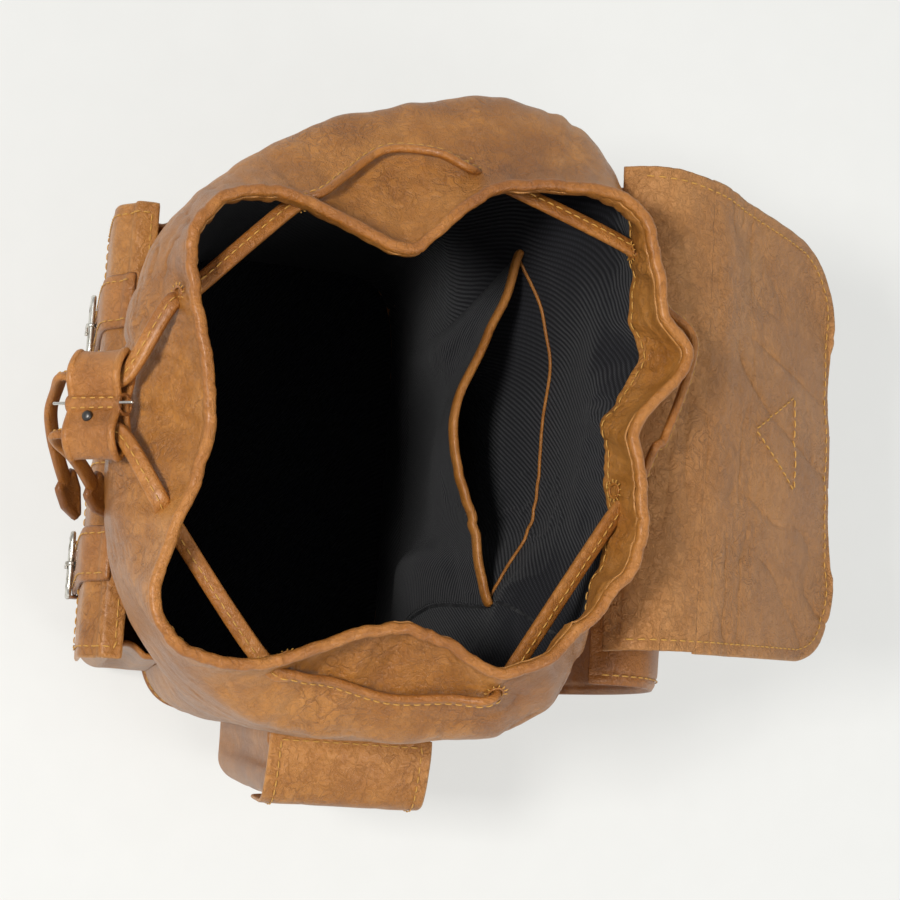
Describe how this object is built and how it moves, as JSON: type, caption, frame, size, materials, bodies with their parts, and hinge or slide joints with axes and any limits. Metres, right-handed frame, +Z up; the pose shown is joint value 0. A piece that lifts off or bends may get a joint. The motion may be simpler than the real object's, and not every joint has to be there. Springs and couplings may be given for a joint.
{
  "type": "leather drawstring backpack",
  "caption": "Drawstring backpack in tan leather with dark twill lining, a flap thrown back, buckled front pockets, side pockets and shoulder straps, standing open.",
  "frame": {"origin": "middle of the base panel, on the surface that the bag stands on", "axes": "+Z up, -Y the front with the two buckled pockets, +Y the back with the flap and shoulder straps, +X one side"},
  "size_m": [0.3701, 0.4664, 0.3505],
  "materials": {
    "tan_leather": "vegetable-tanned cowhide with pull-up sheen and fine grain",
    "rim_leather": "turned and rolled edge, burnished orange brown",
    "dark_leather": "strap leather, waxed, with darker edges",
    "navy_twill": "dark navy cotton twill",
    "board": "grey-brown bag board",
    "antique_silver": "antique silver plate, slightly tarnished"
  },
  "bodies": {
    "root": {"back_panel": "tan_leather", "back_yoke": "dark_leather", "base_board": "board", "base_panel": "dark_leather", "closure_buckle": "antique_silver", "closure_tab": "dark_leather", "drawstring": "tan_leather", "drawstring_tail_left": "tan_leather", "drawstring_tail_left_tip": "tan_leather", "drawstring_tail_right": "tan_leather", "drawstring_tail_right_tip": "tan_leather", "flap_root": "tan_leather", "front_pocket_left": "tan_leather", "front_pocket_right": "tan_leather", "front_side_panel": "tan_leather", "lining": "navy_twill", "lower_strap_left": "dark_leather", "lower_strap_right": "dark_leather", "mouth_binding": "rim_leather", "mouth_facing": "tan_leather", "shoulder_buckle_left": "antique_silver", "shoulder_buckle_right": "antique_silver", "shoulder_strap_left": "dark_leather", "shoulder_strap_right": "dark_leather", "side_pocket_left": "tan_leather", "side_pocket_right": "tan_leather", "slip_pocket": "navy_twill", "slip_pocket_binding": "rim_leather"},
    "front_flap_left": {"front_pocket_flap_left": "tan_leather", "front_pocket_strap_left": "dark_leather", "front_pocket_buckle_left": "antique_silver", "front_pocket_keeper_left": "dark_leather"},
    "front_prong_left": {"front_pocket_prong_left": "antique_silver"},
    "side_flap_left": {"side_pocket_flap_left": "tan_leather"},
    "strap_prong_left": {"shoulder_prong_left": "antique_silver"},
    "front_flap_right": {"front_pocket_flap_right": "tan_leather", "front_pocket_strap_right": "dark_leather", "front_pocket_buckle_right": "antique_silver", "front_pocket_keeper_right": "dark_leather"},
    "front_prong_right": {"front_pocket_prong_right": "antique_silver"},
    "side_flap_right": {"side_pocket_flap_right": "tan_leather"},
    "strap_prong_right": {"shoulder_prong_right": "antique_silver"},
    "neck": {"flap_neck": "tan_leather"},
    "flap": {"flap_panel": "tan_leather", "closure_strap_head": "dark_leather"},
    "closure": {"closure_strap": "dark_leather"},
    "closure_prong_body": {"closure_prong": "antique_silver"},
    "slider_body": {"slider": "tan_leather", "slider_pin": "antique_silver"},
    "handle": {"carry_handle": "dark_leather"}
  },
  "joints": [
    {"name": "flap_neck_hinge", "type": "hinge", "parent": "root", "child": "neck", "pos_m": [-0.02, 0.14411, 0.30409], "axis": [1, 0, 0], "range_deg": [0, 115]},
    {"name": "flap_fold", "type": "hinge", "parent": "neck", "child": "flap", "pos_m": [-0.02, 0.19261, 0.27992], "axis": [1, 0, 0], "range_deg": [0, 95]},
    {"name": "closure_strap_fold", "type": "hinge", "parent": "flap", "child": "closure", "pos_m": [-0.02, 0.29378, 0.19072], "axis": [1, 0, 0], "range_deg": [0, 165]},
    {"name": "front_flap_hinge_left", "type": "hinge", "parent": "root", "child": "front_flap_left", "pos_m": [-0.063, -0.11082, 0.206], "axis": [-1, 0, 0], "range_deg": [0, 60]},
    {"name": "front_prong_hinge_left", "type": "hinge", "parent": "front_flap_left", "child": "front_prong_left", "pos_m": [-0.063, -0.13146, 0.12495], "axis": [-1, 0, 0], "range_deg": [0, 70]},
    {"name": "front_flap_hinge_right", "type": "hinge", "parent": "root", "child": "front_flap_right", "pos_m": [0.071, -0.11145, 0.206], "axis": [-1, 0, 0], "range_deg": [0, 60]},
    {"name": "front_prong_hinge_right", "type": "hinge", "parent": "front_flap_right", "child": "front_prong_right", "pos_m": [0.071, -0.13146, 0.12495], "axis": [-1, 0, 0], "range_deg": [0, 70]},
    {"name": "side_flap_hinge_left", "type": "hinge", "parent": "root", "child": "side_flap_left", "pos_m": [-0.15953, 0.019, 0.184], "axis": [0, 1, 0], "range_deg": [0, 60]},
    {"name": "side_flap_hinge_right", "type": "hinge", "parent": "root", "child": "side_flap_right", "pos_m": [0.15786, 0.019, 0.184], "axis": [0, -1, 0], "range_deg": [0, 60]},
    {"name": "strap_prong_hinge_left", "type": "hinge", "parent": "root", "child": "strap_prong_left", "pos_m": [-0.122, 0.14591, 0.06912], "axis": [1, 0, 0], "range_deg": [0, 60]},
    {"name": "strap_prong_hinge_right", "type": "hinge", "parent": "root", "child": "strap_prong_right", "pos_m": [0.101, 0.14591, 0.06912], "axis": [1, 0, 0], "range_deg": [0, 60]},
    {"name": "closure_prong_hinge", "type": "hinge", "parent": "root", "child": "closure_prong_body", "pos_m": [0.004, -0.10888, 0.18077], "axis": [-1, 0, 0], "range_deg": [0, 70]},
    {"name": "slider_slide", "type": "slide", "parent": "root", "child": "slider_body", "axis": [0, -0.766, -0.6428], "range_m": [0, 0.01]},
    {"name": "carry_handle_hinge", "type": "hinge", "parent": "root", "child": "handle", "pos_m": [-0.01, 0.12478, 0.271], "axis": [1, 0, 0], "range_deg": [0, 85]}
  ]
}
